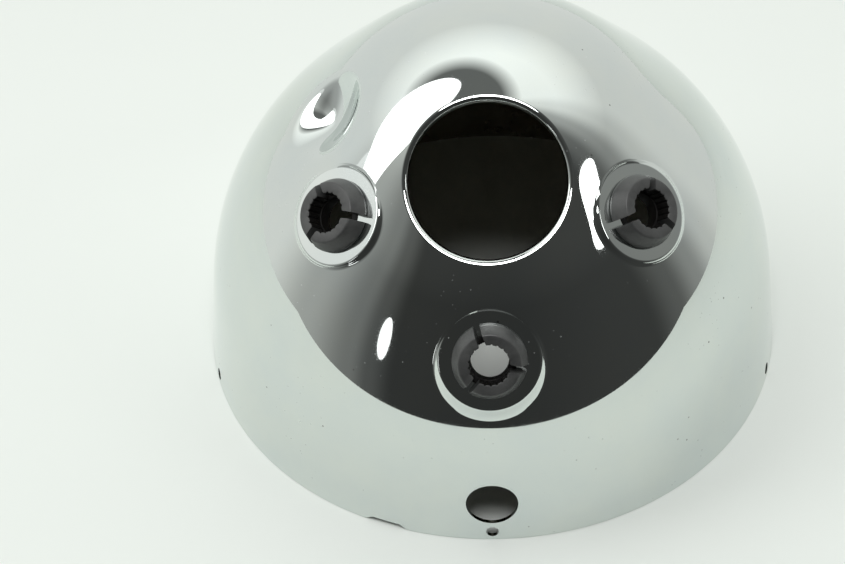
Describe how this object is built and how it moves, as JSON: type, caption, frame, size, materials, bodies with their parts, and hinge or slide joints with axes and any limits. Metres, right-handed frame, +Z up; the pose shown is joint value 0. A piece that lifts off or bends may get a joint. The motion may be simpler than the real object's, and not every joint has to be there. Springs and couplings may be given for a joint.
{
  "type": "headlight shell",
  "caption": "Round chrome motorcycle headlight shell, bullet-shaped, open at the front, with a lipped cable hole, a drain hole and split damper bushes in flat seats.",
  "frame": {"origin": "centre of the open rim, in the plane of its edge", "axes": "+Z up the dome axis from the open front to the nose, -Y towards the drain hole, +X to the right when the drain hole faces the viewer"},
  "size_m": [0.18, 0.18, 0.1173],
  "materials": {
    "chrome_plate": "bright plated steel with fine pits and wiping haze",
    "damper_rubber": "dull moulded black"
  },
  "bodies": {
    "root": {"shell": "chrome_plate", "damper_left": "damper_rubber", "damper_right": "damper_rubber", "damper_lower": "damper_rubber"}
  },
  "joints": []
}
